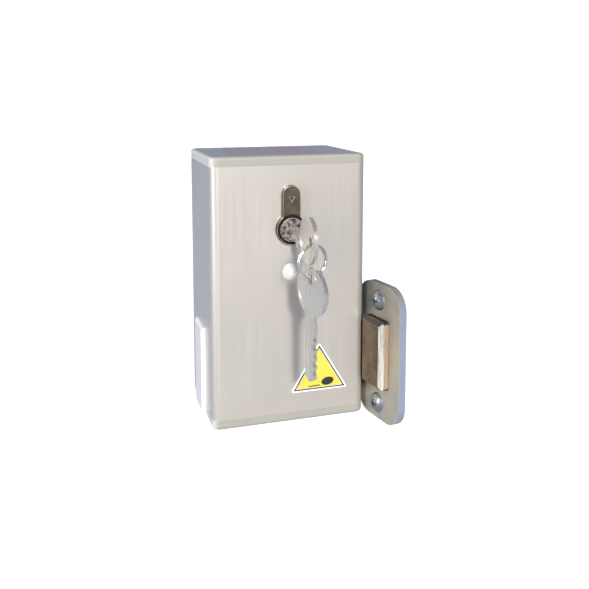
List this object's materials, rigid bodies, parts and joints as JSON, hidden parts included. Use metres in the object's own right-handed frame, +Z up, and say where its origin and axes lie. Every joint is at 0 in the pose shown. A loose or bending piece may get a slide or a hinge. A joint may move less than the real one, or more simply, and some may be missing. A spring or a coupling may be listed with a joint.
{
  "type": "selector key switch",
  "caption": "Wall-mounted key switch in an extruded box: a key cylinder turns a crank that throws a bolt through the side, with keys on a ring and a separate strike plate.",
  "frame": {"origin": "middle of the box's flat back face, which goes on the wall", "axes": "+Z up, +Y into the wall, the front faces -Y, +X to the right of someone facing the front"},
  "size_m": [0.1085, 0.1179, 0.154],
  "materials": {
    "extrusion": "satin brushed, clear anodised",
    "cap_plastic": "fine moulded grain",
    "gasket_rubber": "matte",
    "zinc_screws": "zinc plated",
    "nameplate": "printed foil",
    "cover_plastic": "smooth moulded",
    "black_plastic": "moulded",
    "lens_plastic": "opal",
    "sign_vinyl": "printed vinyl",
    "zinc_sheet": "zinc plated sheet",
    "turned_steel": "turned",
    "nickel_body": "satin nickel",
    "plug_nickel": "nickel plated brass",
    "pin_brass": "turned",
    "sintered_steel": "sintered",
    "spring_steel": "blackened",
    "cast_zinc": "die cast zinc",
    "key_nickel": "nickel plated",
    "ring_steel": "nickel plated wire",
    "bolt_steel": "ground",
    "red_plastic": "moulded",
    "terminal_plastic": "moulded",
    "strike_zinc": "worn zinc plate",
    "strike_bronze": "dark nickel over bronze",
    "strike_screw_zinc": "zinc plated"
  },
  "bodies": {
    "box": {"housing_tube": "extrusion", "top_cap": "cap_plastic", "bottom_cap": "cap_plastic", "top_gasket": "gasket_rubber", "bottom_gasket": "gasket_rubber", "top_screws": "zinc_screws", "bottom_screws": "zinc_screws", "top_label": "nameplate", "side_cover": "cover_plastic", "bolt_bezel": "black_plastic", "grommet": "gasket_rubber", "lens": "lens_plastic", "lens_nut": "black_plastic", "warning_sign": "sign_vinyl", "inner_plate": "zinc_sheet", "wall_posts": "zinc_sheet", "plate_screws": "zinc_screws", "guide_studs": "turned_steel", "cylinder_body": "nickel_body", "driver_pins": "turned_steel", "pin_springs": "turned_steel", "cylinder_bracket": "cast_zinc", "cylinder_screw": "zinc_screws", "switch_body": "black_plastic", "terminal_block": "terminal_plastic", "terminal_screws": "zinc_screws"},
    "plug": {"cylinder_plug": "plug_nickel", "key_pins": "pin_brass", "plug_cam": "sintered_steel", "plug_clip": "spring_steel"},
    "key": {"key": "key_nickel"},
    "ring": {"key_ring": "ring_steel"},
    "spare": {"spare_key": "key_nickel"},
    "slide": {"slide_plate": "zinc_sheet", "bolt": "bolt_steel", "bolt_rivets": "turned_steel"},
    "plunger": {"switch_plunger": "red_plastic"},
    "strike": {"strike_plate": "strike_zinc", "strike_block": "strike_bronze", "strike_screws": "strike_screw_zinc"}
  },
  "joints": [
    {"name": "plug_turn", "type": "hinge", "parent": "box", "child": "plug", "pos_m": [0, -0.05, 0.0358], "axis": [0, 1, 0], "range_deg": [0, 90]},
    {"name": "key_withdraw", "type": "slide", "parent": "plug", "child": "key", "axis": [0, -1, 0], "range_m": [-0.011, 0.025]},
    {"name": "ring_swing", "type": "hinge", "parent": "key", "child": "ring", "pos_m": [0, -0.1053, 0.0358], "axis": [-1, 0, 0], "range_deg": [-6, 18]},
    {"name": "spare_swing", "type": "hinge", "parent": "ring", "child": "spare", "pos_m": [0, -0.1053, 0.0162], "axis": [-0.9613, -0.2756, 0], "range_deg": [-6, 18]},
    {"name": "bolt_throw", "type": "slide", "parent": "box", "child": "slide", "axis": [1, 0, 0], "range_m": [0, 0.0198]},
    {"name": "plunger_press", "type": "slide", "parent": "box", "child": "plunger", "axis": [0, 0, -1], "range_m": [0, 0.0015]},
    {"name": "strike_draw", "type": "slide", "parent": "box", "child": "strike", "axis": [1, 0, 0], "range_m": [0, 0.05]}
  ],
  "couplings": [
    {"joint": "plug_turn", "follows": "bolt_throw", "rad_per_m": 79.33},
    {"joint": "plunger_press", "follows": "bolt_throw", "ratio": 0.075758}
  ]
}
